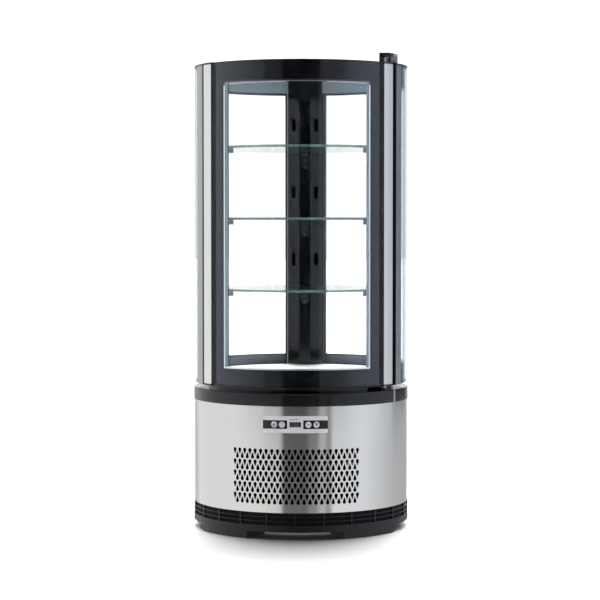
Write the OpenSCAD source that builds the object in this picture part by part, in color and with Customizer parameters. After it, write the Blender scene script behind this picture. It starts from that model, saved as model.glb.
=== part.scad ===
// Round display fridge: curved glass door, side glazing, three shelves and a machine base.
// Millimetres. The origin is on the floor under the centre, the door faces -Y and +Z is up.
// Angles around the body are in degrees from the door's centre, positive towards +X.

/* [Body] */
// Outer radius of the plinth and of the deck ring
body_r = 225; // [218:1:240]
// Height of the foot lobes below the plinth skirt
lobe_h = 15; // [10:1:30]
// Height of the plain skirt under the louvres
skirt_h = 14; // [8:1:24]
// Height of the louvre band
louvre_h = 25; // [18:1:36]
// Height of the steel wrap
wrap_h = 214; // [205:1:260]
// Height of the deck ring
ring_h = 25.5; // [22:0.5:34]
// Height of the shadow gap under the door
gap_h = 8.5; // [7:0.5:12]
// Height of the glazed cabinet
cabinet_h = 658; // [640:1:800]
// Height of the black border under the glass
border_low = 41; // [34:1:55]
// Height of the black border over the glass
border_high = 43; // [34:1:55]

/* [Glazing] */
// Thickness of one glass pane
glass_t = 4; // [3:0.5:5]
// Space between the two panes of a glazed unit
pane_space = 9; // [6:0.5:12]
// How far the outer pane lies inside the body radius
glass_inset = 3; // [2:0.5:5]

/* [Door] */
// Half of the angle that the door covers
door_a = 59.3; // [55:0.1:60]
// Angle covered by one silver edge strip
strip_a = 7.8; // [6:0.1:9]
// Half of the angle of the clear opening
clear_a = 42; // [38:0.5:44]
// Angle of the hinge pin
hinge_a = 55.4; // [55:0.1:56]
// Radius of the hinge pin
pin_r = 3.5; // [2.5:0.1:4]
// Running clearance of the hinge pin in its bush
pin_fit = 0.06; // [0.02:0.01:0.1]
// Thickness of the magnetic seal
seal_t = 6; // [5:0.5:7]

/* [Posts] */
// Angle where the latch side post starts
latch_post_a = 61.5; // [61.2:0.1:63]
// Angle where the hinge side post starts
hinge_post_a = 63.3; // [62:0.1:64]
// Angle where both posts end and the side glass begins
post_end_a = 71; // [69:0.5:74]
// Depth of the inner leg of a post, from the seal land inwards
post_leg = 8.2; // [6:0.1:12]
// Width of the rear column across the chamber
column_w = 74; // [66:1:80]

/* [Shelves] */
// Gap between a shelf's rim and the chamber wall
shelf_gap = 3; // [2:0.5:8]
// Thickness of a shelf
shelf_t = 5; // [4:0.5:8]
// Height of the lowest shelf's top above the deck floor
shelf_first = 174; // [150:1:190]
// Spacing of the shelves
shelf_pitch = 146.5; // [130:0.5:155]

/* [Grille] */
// Number of head-up drops in a row
drop_count = 23; // [9:2:23]
// Number of pairs of rows
drop_rows = 5; // [2:1:5]
// Angle between neighbouring drops
drop_pitch_a = 3.05; // [2.9:0.05:3.3]
// Height of one pair of rows
drop_pair_h = 22.5; // [21:0.5:24]
// Length of a drop
drop_l = 13.2; // [11:0.1:13.6]
// Width of a drop
drop_w = 7.6; // [5:0.1:7.8]

/* [Controls] */
// Width of the control bezel along the wrap
bezel_w = 132; // [126:1:150]
// Height of the control bezel
bezel_h = 34; // [30:1:44]
// Radius of a push button
button_r = 6; // [4:0.5:6.5]
// Travel of a push button
button_travel = 0.8; // [0.4:0.1:1]
// Angle of the inner buttons
button_in_a = 6.75; // [6.5:0.05:7.2]
// Angle of the outer buttons
button_out_a = 10.9; // [10.7:0.05:11.5]

/* [Machine] */
// Radius of the condenser fan
fan_r = 66; // [50:1:70]
// Radius of the evaporator fan
cool_fan_r = 42; // [30:1:44]
// Radius of the compressor shell
compressor_r = 58; // [50:1:62]
// Height of the compressor shell
compressor_h = 150; // [120:1:165]

/* [Hidden] */
$fn = 96;
// Small gap left between seated curved faces
seat = 0.3;
// Clearance around moving pieces
run = 0.4;
// Gap between the end faces of neighbouring ring pieces, in degrees
joint_a = 0.1;

// Heights from the floor upwards
skirt_z = lobe_h;
louvre_z = skirt_z + skirt_h;
wrap_z = louvre_z + louvre_h;
ring_z = wrap_z + wrap_h;
ring_top = ring_z + ring_h;
cabinet_z = ring_top + gap_h;
cabinet_top = cabinet_z + cabinet_h;
clear_z = cabinet_z + border_low;
clear_top = cabinet_top - border_high;
sill_step = 18;
floor_top = clear_z - sill_step;
floor_t = 3;
cap_t = 3.5;
cap_z = cabinet_top - cap_t;
trim_h = 3.7;

// Radii from the outside inwards
wrap_out = body_r - 1.6;
wrap_t = 0.8;
wrap_in = wrap_out - wrap_t;
glass_out = body_r - glass_inset;
glass_in = glass_out - glass_t;
inner_out = glass_in - pane_space;
unit_in = inner_out - glass_t;
strip_out = body_r - 0.5;
seal_in = unit_in - seat - seal_t;
jamb_r = seal_in - seat;
jamb_back_r = jamb_r - 4.2;
chamber_r = jamb_back_r - post_leg;
shelf_r = chamber_r - shelf_gap;
column_in = glass_in - 12;

// Angles
strip_in_a = door_a - strip_a;
glass_a = strip_in_a - 0.4;
seal_out_a = strip_in_a - 1;
seal_in_a = seal_out_a - 4.5;
column_a = asin(column_w / 2 / column_in) + 0.5;
side_end_a = 180 - column_a - 0.4;
side_start_a = post_end_a + 0.25;

// Hinge axis
hinge_r = (unit_in + strip_out) / 2 - 1.75;
hinge_x = hinge_r * sin(hinge_a);
hinge_y = -hinge_r * cos(hinge_a);

// Ring sector between two angles, two radii and two heights
module arc(from_a, to_a, r_in, r_out, low, high) {
    rotate([0, 0, from_a - 90])
        rotate_extrude(angle = to_a - from_a)
            translate([r_in, low])
                square([r_out - r_in, high - low]);
}

// Full ring
module ring(r_in, r_out, low, high) {
    rotate_extrude()
        translate([r_in, low])
            square([r_out - r_in, high - low]);
}

// Sector of any profile drawn as radius against height
module arc_profile(from_a, to_a, points) {
    rotate([0, 0, from_a - 90])
        rotate_extrude(angle = to_a - from_a)
            polygon(points);
}

// Places a child at an angle and height, its own -Y pointing outwards and its origin at a radius
module around(a, r, z = 0) {
    rotate([0, 0, a])
        translate([0, -r, z])
            children();
}

// Box centred on X and Y, standing on a height
module block(w, d, low, high) {
    translate([-w / 2, -d / 2, low])
        cube([w, d, high - low]);
}

// Cylinder lying along Y from one place to another
module rod_y(r, y_from, y_to, x = 0, z = 0) {
    translate([x, y_to, z])
        rotate([90, 0, 0])
            cylinder(r = r, h = y_to - y_from);
}

// Cylinder standing between two heights
module post(r, low, high) {
    translate([0, 0, low])
        cylinder(r = r, h = high - low);
}

// Sector frame with a clear window, as seen from outside
module arc_window(outer_a, inner_a, r_in, r_out, low, high, window_low, window_high) {
    difference() {
        arc(-outer_a, outer_a, r_in, r_out, low, high);
        arc(-inner_a, inner_a, r_in - 1, r_out + 1, window_low, window_high);
    }
}

// Base

pan_z = skirt_z + 3;
pan_t = 1.5;
pan_top = pan_z + pan_t;
tray_z = ring_z - 6;
tray_t = 1.5;
lobe_in_a = 26.5;
lobe_out_a = 61;
lobe_r = body_r * 0.67;
pad_r = 14;
pad_t = 3;
pad_proud = 0.5;
pad_at_r = (lobe_r + body_r) / 2;
louvre_count = 24;
plinth_wall = 3;
louvre_back_t = 1.2;
slat_h = 1.7;
slot_h = (louvre_h - 2 * slat_h) / 3;

module lobe_pad_places() {
    for (a = [1, -1], b = [0, 180])
        around(b + a * (lobe_in_a + lobe_out_a) / 2, pad_at_r)
            children();
}

module plinth() {
    color("#26272b") {
        difference() {
            rotate_extrude()
                polygon([[lobe_r, pad_proud], [body_r, pad_proud], [body_r, louvre_z],
                         [body_r - plinth_wall, louvre_z], [body_r - plinth_wall, wrap_z],
                         [body_r - plinth_wall - louvre_back_t, wrap_z],
                         [body_r - plinth_wall - louvre_back_t, pan_z], [lobe_r, pan_z]]);
            for (b = [0, 180]) {
                arc(b - lobe_in_a, b + lobe_in_a, lobe_r - 1, body_r + 1, -1, skirt_z);
                arc(b + lobe_out_a, b + 180 - lobe_out_a, lobe_r - 1, body_r + 1, -1, skirt_z);
            }
            lobe_pad_places()
                post(pad_r, -1, pad_t);
        }
        for (row = [1, 2])
            translate([0, 0, louvre_z + row * slot_h + (row - 1) * slat_h])
                ring(body_r - plinth_wall - 0.4, body_r, 0, slat_h);
        for (i = [0 : louvre_count - 1])
            arc(i * 360 / louvre_count - 0.45, i * 360 / louvre_count + 0.45,
                body_r - plinth_wall + 0.3, body_r - 0.3, louvre_z - 0.5, wrap_z);
    }
}

module foot_pads() {
    color("#1c1c1e")
        lobe_pad_places()
            post(pad_r - 0.1, 0, pad_t);
}

module base_pan() {
    color("silver") {
        post(body_r - 8, pan_z, pan_top);
        ring(body_r - 9.2, body_r - 8, pan_top - 0.1, pan_top + 8);
    }
}

wrap_end_a = 152;
post_places = [-52, 52, wrap_end_a, -wrap_end_a];
post_half_a = 3;

module machine_posts() {
    color("gainsboro")
        for (a = post_places)
            difference() {
                arc(a - post_half_a, a + post_half_a, body_r - 20, body_r - 9.5, pan_top, tray_z);
                arc(a - post_half_a + 0.5, a + post_half_a - 0.5, body_r - 21, body_r - 11.5,
                    pan_top - 1, tray_z + 1);
            }
}

// Teardrop outline with its round head up, centred on its height
drop_head_r = drop_w / 2;
drop_side_a = 20;
drop_step_a = 44;
drop_points = concat(
    [for (t = [-drop_side_a : drop_step_a : 180 + drop_side_a])
        [drop_head_r * cos(t), drop_l / 2 - drop_head_r + drop_head_r * sin(t)]],
    [[-0.5, -drop_l / 2], [0.5, -drop_l / 2]]
);
grille_z = wrap_z + 16;
drop_row_shift = 8.4;

module drop(flip) {
    rotate([90, 0, 0])
        linear_extrude(6, center = true)
            mirror([0, flip, 0])
                polygon(drop_points);
}

module grille_holes() {
    for (row = [0 : drop_rows - 1]) {
        row_z = grille_z + (row + 1) * drop_pair_h - drop_l / 2;
        for (i = [0 : drop_count - 1])
            around((i - (drop_count - 1) / 2) * drop_pitch_a, wrap_in + wrap_t / 2, row_z)
                drop(0);
        for (i = [0 : drop_count - 2])
            around((i - (drop_count - 2) / 2) * drop_pitch_a, wrap_in + wrap_t / 2, row_z - drop_row_shift)
                drop(1);
    }
}

bezel_z = ring_z - 36;
bezel_half_a = bezel_w / 2 / body_r * 180 / PI;
core_half_a = bezel_half_a - 2.6;
core_h = bezel_h - 9;

module steel_wrap() {
    color("#c9cacc")
        difference() {
            arc(-wrap_end_a, wrap_end_a, wrap_in, wrap_out, wrap_z, ring_z);
            grille_holes();
            arc(-core_half_a - 0.2, core_half_a + 0.2, wrap_in - 1, wrap_out + 1,
                bezel_z - core_h / 2 - 0.5, bezel_z + core_h / 2 + 0.5);
        }
}

inlet_z = wrap_z + 40;
inlet_w = 28;
inlet_h = 20;

module rear_panel() {
    color("#8f9195")
        difference() {
            arc(wrap_end_a + joint_a, 360 - wrap_end_a - joint_a, wrap_in, wrap_out, wrap_z, ring_z);
            for (row = [0 : 7], side = [-1, 0, 1])
                arc(180 + side * 14 - 6, 180 + side * 14 + 6, wrap_in - 1, wrap_out + 1,
                    wrap_z + 84 + row * 14, wrap_z + 90 + row * 14);
            translate([0, wrap_in, 0])
                block(inlet_w + 0.6, 12, inlet_z - inlet_h / 2 - 0.3, inlet_z + inlet_h / 2 + 0.3);
            panel_screw_places()
                rod_y(2.2, -6, 6);
        }
}

panel_screw_a = 1.8;

module panel_screw_places() {
    for (a = [wrap_end_a + panel_screw_a, -wrap_end_a - panel_screw_a], z = [wrap_z + 14, ring_z - 14])
        around(a, wrap_out, z)
            children();
}

cap_screw_r = jamb_back_r - 2.2;
cap_screw_l = 8;
cap_screw_hole_r = 2;
cap_screw_places = [-1.7, 35, -60, 110, 150, -110, -150];

module case_screws() {
    color("dimgray") {
        panel_screw_places() {
            rod_y(3.8, -1.4, -seat);
            rod_y(1.9, -1, 7.6);
        }
        for (a = cap_screw_places)
            around(a, cap_screw_r) {
                post(3.4, cabinet_top, cabinet_top + 1.6);
                post(1.8, cabinet_top - cap_screw_l, cabinet_top + 0.5);
            }
        bracket_screw_places() {
            rod_y(3, -bracket_plate_t - 1.6, -bracket_plate_t);
            rod_y(1.5, -bracket_plate_t - 0.5, 3);
        }
    }
}

// Machine

// Space left outside the compressor shell, sideways and behind it
compressor_side = 75;
compressor_rear = 105;
compressor_x = compressor_side + compressor_r - body_r;
compressor_y = body_r - compressor_r - compressor_rear;
foot_span = 52;
grommet_h = 12;
compressor_z = pan_top + grommet_h;

module compressor_feet() {
    for (x = [-1, 1], y = [-1, 1])
        translate([compressor_x + x * foot_span, compressor_y + y * foot_span, 0])
            children();
}

module compressor() {
    dome = 26;
    color("#17181a")
        difference() {
            union() {
                translate([compressor_x, compressor_y, compressor_z])
                    rotate_extrude()
                        polygon([[0, 0], [compressor_r - 14, 0], [compressor_r - 3, 8],
                                 [compressor_r, 18], [compressor_r, compressor_h - dome],
                                 [compressor_r - 5, compressor_h - dome / 2.4],
                                 [compressor_r - 20, compressor_h - 5], [0, compressor_h]]);
                translate([compressor_x, compressor_y, 0])
                    block(2 * foot_span + 20, 2 * foot_span + 20, compressor_z - 2, compressor_z + 0.5);
                translate([compressor_x + compressor_r - 6, compressor_y, 0])
                    block(28, 44, compressor_z + 60, compressor_z + 108);
            }
            compressor_feet()
                post(5.2, compressor_z - 5, compressor_z + 4);
        }
}

module compressor_grommets() {
    color("#303030")
        compressor_feet() {
            post(9, pan_top, compressor_z - 2);
            post(5, compressor_z - 2.5, compressor_z + 3);
        }
}

// Space left in front of the condenser coil
coil_front = 70;
coil_d = 40;
coil_y = coil_front + coil_d / 2 - body_r;
coil_w = 190;
coil_h = 160;
coil_z = pan_top;
fin_count = 30;

module condenser_coil() {
    color("#b7b9bb") {
        translate([0, coil_y, 0]) {
            for (i = [0 : fin_count])
                translate([-coil_w / 2 + i * coil_w / fin_count, 0, 0])
                    block(0.8, coil_d, coil_z + 4, coil_z + coil_h);
            for (z = [20 : 30 : coil_h - 10], y = [-10, 10])
                translate([-coil_w / 2 - 6, y, coil_z + z])
                    rotate([0, 90, 0])
                        cylinder(r = 4, h = coil_w + 12);
            for (x = [-1, 1])
                translate([x * (coil_w / 2 + 3), 0, 0])
                    block(1.6, coil_d, coil_z, coil_z + coil_h);
        }
    }
}

shroud_y = coil_y + coil_d / 2 + 4;
shroud_t = 2;
fan_z = coil_z + coil_h / 2;
motor_y = shroud_y + 44;
motor_r = 20.6;

module fan_shroud() {
    color("#9a9c9f") {
        difference() {
            union() {
                translate([0, shroud_y, 0])
                    block(coil_w + 4, shroud_t, coil_z, coil_z + coil_h);
                rod_y(fan_r + 5, shroud_y, shroud_y + 16, 0, fan_z);
            }
            rod_y(fan_r + 3, shroud_y - 10, shroud_y + 20, 0, fan_z);
        }
        for (x = [-1, 1]) {
            translate([x * (coil_w / 2 - 6), (shroud_y + motor_y) / 2, 0])
                block(3, motor_y - shroud_y, fan_z - 8, fan_z + 8);
            translate([x * (motor_r + seat + coil_w / 2 - 5) / 2, motor_y, 0])
                block(coil_w / 2 - 5 - motor_r - seat, 3, fan_z - 8, fan_z + 8);
        }
    }
}

module condenser_fan_motor() {
    color("#4a4b4e") {
        rod_y(motor_r, motor_y - 14, motor_y + 26, 0, fan_z);
        rod_y(3, shroud_y - 2, motor_y - 13, 0, fan_z);
    }
}

// Rotor with its hub on the Y axis, a bore for the shaft and pitched blades
module rotor_y(r, hub_r, depth, shaft_r, blades) {
    difference() {
        union() {
            rod_y(hub_r, -depth / 2, depth / 2);
            intersection() {
                rod_y(r, -depth, depth);
                for (i = [0 : blades - 1])
                    rotate([0, i * 360 / blades, 0])
                        rotate([0, 0, 32])
                            translate([-1, -depth / 1.5, hub_r / 2])
                                cube([2, depth * 1.33, r]);
            }
        }
        rod_y(shaft_r, -depth, depth);
    }
}

module condenser_fan() {
    color("#d6d8da")
        translate([0, shroud_y + 9, fan_z])
            rotor_y(fan_r, 19, 14, 3 + pin_fit, 5);
}

tube_r = 3;

// One brazed run of tube through a list of corners, with a ball fitting on each corner
module tube_run(points) {
    for (i = [0 : len(points) - 2]) {
        step = points[i + 1] - points[i];
        translate(points[i])
            rotate([0, acos(step[2] / norm(step)), atan2(step[1], step[0])])
                cylinder(r = tube_r, h = norm(step), $fn = 24);
    }
    for (i = [1 : len(points) - 2])
        translate(points[i])
            sphere(r = tube_r + 0.8, $fn = 24);
}

module refrigerant_tubes() {
    shell_x = compressor_x + compressor_r;
    side_x = coil_w / 2 + 14;
    color("#b87333") {
        tube_run([[shell_x + seat, compressor_y, compressor_z + 42],
                  [shell_x + 30, compressor_y, compressor_z + 42],
                  [shell_x + 30, compressor_y, coil_z + 20],
                  [side_x, compressor_y, coil_z + 20],
                  [side_x, coil_y + 10, coil_z + 20],
                  [coil_w / 2 + 6 + seat, coil_y + 10, coil_z + 20]]);
        tube_run([[compressor_x, compressor_y, compressor_z + compressor_h + seat],
                  [compressor_x, compressor_y, tray_z - 14],
                  [0, compressor_y, tray_z - 14],
                  [0, compressor_y, tray_z - seat]]);
        tube_run([[coil_w / 2 + 6 + seat, coil_y - 10, coil_z + 140],
                  [side_x + 14, coil_y - 10, coil_z + 140],
                  [side_x + 14, coil_y + 70, coil_z + 140]]);
        translate([side_x + 14, coil_y + 70, coil_z + 140])
            rotate([-90, 0, 0])
                cylinder(r = 9, h = 70);
        tube_run([[side_x + 14, coil_y + 139, coil_z + 140],
                  [side_x + 14, coil_y + 160, coil_z + 140],
                  [side_x + 14, coil_y + 160, tray_z - seat]]);
    }
}

drain_x = 25;
drain_y = body_r - 65;
electrics_x = body_r - 113;
electrics_y = body_r - 125;

module drain_pan() {
    color("#3a3b3d")
        translate([drain_x, drain_y, 0])
            difference() {
                block(96, 50, pan_top, pan_top + 30);
                block(92, 46, pan_top + 2, pan_top + 31);
            }
}

module electrics_box() {
    color("#d8d9d6") {
        translate([electrics_x, electrics_y, 0]) {
            block(80, 60, pan_top, pan_top + 92);
            block(84, 64, pan_top + 92, pan_top + 95);
        }
    }
}

inlet_face_y = body_r - 0.1;

module power_inlet() {
    color("#1b1b1d") {
        difference() {
            union() {
                translate([0, inlet_face_y - 14, 0])
                    block(inlet_w, 26, inlet_z - inlet_h / 2, inlet_z + inlet_h / 2);
                translate([0, inlet_face_y - 0.6, 0])
                    block(inlet_w + 8, 1, inlet_z - inlet_h / 2 - 3, inlet_z + inlet_h / 2 + 3);
            }
            translate([0, inlet_face_y - 8, 0])
                block(inlet_w - 4, 18, inlet_z - inlet_h / 2 + 2, inlet_z + inlet_h / 2 - 2);
        }
        for (x = [-7, 0, 7])
            translate([x, inlet_face_y - 12, 0])
                block(2, 12, inlet_z - (x == 0 ? -1 : 4), inlet_z + (x == 0 ? 5 : 0));
    }
}

// Controls

strip_h = bezel_h / 2;
strip_t = 0.7;
strip_start_a = 4.15;
lens_a = 2.88;
lens_h = 10;
core_back_r = wrap_out - 2;
board_w = 106;
board_y = body_r - 19.5;
board_t = 1.6;
standoff_x = 50;
standoff_z = core_h / 2 - 2.5;

corner_r = 5;
corner_over = 0.4;

// What is cut away to round the four corners of the bezel, as seen from the front
module bezel_corners() {
    corner_x = body_r * sin(bezel_half_a);
    for (x = [-1, 1], z = [-1, 1])
        translate([x * (corner_x - corner_r + corner_over), -body_r,
                   bezel_z + z * (bezel_h / 2 - corner_r + corner_over)])
            difference() {
                translate([x > 0 ? 0 : -2 * corner_r, 0, z > 0 ? 0 : -2 * corner_r])
                    cube([2 * corner_r, 40, 2 * corner_r]);
                rod_y(corner_r, -1, 41);
            }
}

module strip_area(from_a, r_in, r_out, margin) {
    for (m = [0, 1])
        mirror([m, 0, 0])
            arc(from_a, bezel_half_a + margin, r_in, r_out,
                bezel_z - strip_h / 2 - margin / 4, bezel_z + strip_h / 2 + margin / 4);
}

module button_bores(r) {
    for (a = [-button_out_a, -button_in_a, button_in_a, button_out_a])
        around(a, 0, bezel_z)
            rod_y(r, -body_r - 3, -body_r + 12);
}

module control_bezel() {
    color("#b9bbc0") {
        difference() {
            union() {
                difference() {
                    arc(-bezel_half_a, bezel_half_a, wrap_out + 0.15, body_r,
                        bezel_z - bezel_h / 2, bezel_z + bezel_h / 2);
                    bezel_corners();
                }
                arc(-core_half_a, core_half_a, core_back_r, wrap_out + 0.3,
                    bezel_z - core_h / 2, bezel_z + core_h / 2);
            }
            strip_area(strip_start_a - 0.05, body_r - strip_t - 0.1, body_r + 1, 0.4);
            button_bores(button_r + run);
            arc(-lens_a - 0.06, lens_a + 0.06, core_back_r - 1, body_r + 1,
                bezel_z - lens_h / 2 - 0.2, bezel_z + lens_h / 2 + 0.2);
        }
        for (x = [-standoff_x, standoff_x], z = [-standoff_z, standoff_z])
            rod_y(2, -sqrt(pow(core_back_r + 0.8, 2) - x * x), -board_y, x, bezel_z + z);
    }
}

module panel_windows() {
    color("#101114") {
        difference() {
            strip_area(strip_start_a, body_r - strip_t, body_r - 0.05, 0);
            button_bores(button_r + run);
        }
        arc(-lens_a, lens_a, core_back_r, body_r - 0.3,
            bezel_z - lens_h / 2, bezel_z + lens_h / 2);
    }
}

module push_button(a) {
    color("#dfe0e2")
        around(a, 0, bezel_z) {
            rod_y(button_r, -body_r - 0.3, -core_back_r + 0.4);
            rod_y(button_r + 1.2, -core_back_r + seat, -core_back_r + seat + 1.2);
            rod_y(1.8, -core_back_r + 1, -body_r + 13.8 - button_travel);
        }
}

module button_power() { push_button(-button_out_a); }
module button_light() { push_button(-button_in_a); }
module button_down() { push_button(button_in_a); }
module button_up() { push_button(button_out_a); }

module controller_board() {
    color("#1f5c3a")
        difference() {
            union() {
                translate([0, -board_y + board_t / 2, 0])
                    block(board_w, board_t, bezel_z - core_h / 2, bezel_z + core_h / 2);
                translate([0, -board_y - 4, 0])
                    block(22, 8.5, bezel_z - 5.5, bezel_z + 5.5);
                for (a = [-button_out_a, -button_in_a, button_in_a, button_out_a])
                    rod_y(2.8, -board_y - 0.9, -board_y + 0.2, body_r * sin(a) * 0.94, bezel_z);
            }
            for (x = [-standoff_x, standoff_x], z = [-standoff_z, standoff_z])
                rod_y(1, -board_y - 1, -board_y + board_t + 1, x, bezel_z + z);
        }
}

// Deck

flange_in_r = chamber_r + 2;
flange_t = 3;
joint_strip_a = 61.3;
joint_strip_half_a = 0.75;
well_z = tray_z + 10;
foam_r = jamb_back_r + 6;
// Space left beside the evaporator coil, between coil and fan, and behind the fan
cool_coil_side = 76;
cool_gap = 24;
cool_fan_rear = 52;
cool_coil_w = 2 * (chamber_r - cool_coil_side);
cool_coil_d = 96;
cool_fan_y = chamber_r - cool_fan_r - cool_fan_rear;
cool_coil_y = cool_fan_y - cool_fan_r - cool_gap - cool_coil_d / 2;
floor_z = floor_top - floor_t;

module deck_ring() {
    color("#1d1e21")
        difference() {
            rotate_extrude()
                polygon([[body_r - 3, ring_z], [body_r, ring_z], [body_r, ring_top - 2],
                         [body_r - 0.6, ring_top - 0.6], [body_r - 2, ring_top],
                         [flange_in_r, ring_top], [flange_in_r, ring_top - flange_t],
                         [body_r - 3, ring_top - flange_t]]);
            arc(joint_strip_a - joint_strip_half_a - 0.08, joint_strip_a + joint_strip_half_a + 0.08,
                body_r - 1.3, body_r + 1, ring_z - 1, ring_top + 1);
        }
}

module ring_joint_strip() {
    color("#a9abb0")
        arc(joint_strip_a - joint_strip_half_a, joint_strip_a + joint_strip_half_a,
            body_r - 1.1, body_r, ring_z, ring_top - 0.4);
}

module deck_tray() {
    color("silver") {
        post(body_r - 4, tray_z, tray_z + tray_t);
        ring(foam_r + seat, foam_r + seat + 1.5, tray_z, ring_top - flange_t);
    }
}

module deck_foam() {
    color("#e8dfb8")
        difference() {
            union() {
                post(foam_r, tray_z + tray_t, ring_top - flange_t - seat);
                post(chamber_r - 0.3, ring_top - flange_t - 1, floor_z);
            }
            translate([0, cool_coil_y, 0])
                block(cool_coil_w + 30, cool_coil_d + 26, well_z, floor_z + 1);
            translate([0, cool_fan_y, 0])
                post(cool_fan_r + 8, well_z, floor_z + 1);
            translate([0, (cool_fan_y + chamber_r - 8) / 2, 0])
                block(56, chamber_r - 8 - cool_fan_y, well_z + 14, floor_z + 1);
        }
}

module deck_floor() {
    color("#eef0ef")
        difference() {
            post(chamber_r - 0.4, floor_z, floor_top);
            for (i = [-3 : 3])
                arc(i * 12 - 4.5, i * 12 + 4.5, chamber_r - 26, chamber_r - 20, floor_z - 1, floor_top + 1);
            translate([0, 0, floor_z - 1])
                linear_extrude(floor_t + 2)
                    polygon([[-9, column_y + 4], [9, column_y + 4], [26, column_y + 15],
                             [-26, column_y + 15]]);
        }
}

module evaporator_coil() {
    color("#c3c6c8")
        translate([0, cool_coil_y, 0]) {
            for (i = [0 : 32])
                translate([-cool_coil_w / 2 + i * cool_coil_w / 32, 0, 0])
                    block(0.7, cool_coil_d, well_z, well_z + 38);
            for (z = [10, 28], y = [-36 : 24 : 36])
                translate([-cool_coil_w / 2 - 5, y, well_z + z])
                    rotate([0, 90, 0])
                        cylinder(r = 3.6, h = cool_coil_w + 10);
        }
}

module evaporator_fan_motor() {
    color("#4a4b4e")
        translate([0, cool_fan_y, 0]) {
            post(17, well_z, well_z + 13);
            post(2.5, well_z + 12, well_z + 34);
        }
}

module evaporator_fan() {
    color("#25262a")
        translate([0, cool_fan_y, well_z + 24])
            rotate([90, 0, 0])
                rotor_y(cool_fan_r, 13, 11, 2.5 + pin_fit, 7);
}

// Cabinet

sill_top = clear_z - 5;
head_low = clear_top + 5;
door_seal_a = seal_out_a + 0.3;
neck_r = jamb_back_r - seat;
pane_top = clear_top + sill_step;
column_y = chamber_r - 21;
column_facet = 24;
column_depth = 16;
column_wall = 2;
column_back_y = sqrt(pow(column_in, 2) - pow(column_w / 2, 2)) - seat;

// Draws its child on the right and mirrored on the left
module both_sides() {
    for (m = [0, 1])
        mirror([m, 0, 0])
            children();
}

module column_slot(low, high) {
    translate([0, chamber_r, 0])
        block(column_w + 2 * seat, chamber_r, low, high);
}

module sill_ring() {
    color("#1d1e21") {
        ring(chamber_r, neck_r, ring_top, floor_top);
        arc(-door_seal_a, door_seal_a, neck_r, jamb_r, cabinet_z, sill_top);
        arc(-latch_post_a, hinge_post_a, chamber_r, neck_r, floor_top, sill_top);
        both_sides()
            arc_profile(post_end_a + joint_a, side_end_a,
                [[neck_r - 1, cabinet_z], [glass_out - 3, cabinet_z], [glass_out - 1, cabinet_z + 0.8],
                 [glass_out, cabinet_z + 2.6], [glass_out, cabinet_z + trim_h],
                 [glass_in - 0.2, cabinet_z + trim_h], [glass_in - 0.2, clear_z],
                 [inner_out + seat, clear_z], [inner_out + seat, floor_top - 1],
                 [neck_r - 1, floor_top - 1]]);
    }
}

module head_ring() {
    color("#1d1e21")
        difference() {
            union() {
                ring(chamber_r, neck_r, clear_top, cap_z);
                arc(-door_seal_a, door_seal_a, neck_r, jamb_r, clear_top, cap_z);
                both_sides()
                    arc_profile(post_end_a + joint_a, side_end_a,
                        [[neck_r - 1, pane_top + seat], [inner_out + seat, pane_top + seat],
                         [inner_out + seat, clear_top], [glass_in - 0.2, clear_top],
                         [glass_in - 0.2, cap_z], [neck_r - 1, cap_z]]);
            }
            column_slot(clear_top - 1, cap_z - 8);
            for (a = cap_screw_places)
                around(a, cap_screw_r)
                    post(cap_screw_hole_r, cabinet_top - cap_screw_l - 1, cap_z + 1);
        }
}

module top_cap() {
    color("#1a1b1d")
        difference() {
            union() {
                post(neck_r, cap_z, cabinet_top);
                arc(-door_seal_a, door_seal_a, neck_r - 5, jamb_r, cap_z, cabinet_top);
                arc(hinge_post_a, 360 - latch_post_a, neck_r - 5, glass_out + 0.6, cap_z, cabinet_top);
            }
            for (a = cap_screw_places)
                around(a, cap_screw_r)
                    post(cap_screw_hole_r, cap_z - 1, cabinet_top + 1);
        }
}

ceiling_z = clear_top + 27;

module top_foam() {
    color("#e8dfb8")
        post(chamber_r - 0.4, ceiling_z + 2, cap_z);
}

module ceiling_liner() {
    color("#2a2b2e")
        post(chamber_r - seat, ceiling_z, ceiling_z + 2);
}

land_lap_a = 2;

// Post drawn on the right: an outer leg, an inner jamb and the land of the door's seal
module front_post(from_a) {
    color("#2b2c30") {
        arc_profile(from_a, post_end_a,
            [[chamber_r, floor_top], [jamb_back_r, floor_top], [jamb_back_r, cabinet_z],
             [glass_out + 0.5, cabinet_z], [glass_out + 0.5, cap_z], [jamb_back_r, cap_z],
             [jamb_back_r, clear_top], [chamber_r, clear_top]]);
        arc(seal_out_a, from_a - joint_a, chamber_r, jamb_back_r, sill_top, clear_top);
        arc(seal_in_a, seal_out_a + land_lap_a, jamb_back_r + seat, jamb_r, sill_top, clear_top);
    }
}

module front_post_left() {
    mirror([1, 0, 0])
        front_post(latch_post_a);
}

module front_post_right() {
    front_post(hinge_post_a);
}

module light_strips() {
    color("#f4f3ea")
        both_sides()
            arc(clip_a + 2.1, clip_a + 5.1, chamber_r - 2.2, chamber_r - seat, clear_z, clear_top - 8);
}

module column_plan(extra) {
    polygon([[-column_w / 2 - extra, column_back_y + 4 * extra],
             [-column_w / 2 - extra, column_y + column_depth - extra],
             [-column_facet / 2 - extra * 0.8, column_y - extra],
             [column_facet / 2 + extra * 0.8, column_y - extra],
             [column_w / 2 + extra, column_y + column_depth - extra],
             [column_w / 2 + extra, column_back_y + 4 * extra]]);
}

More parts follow.
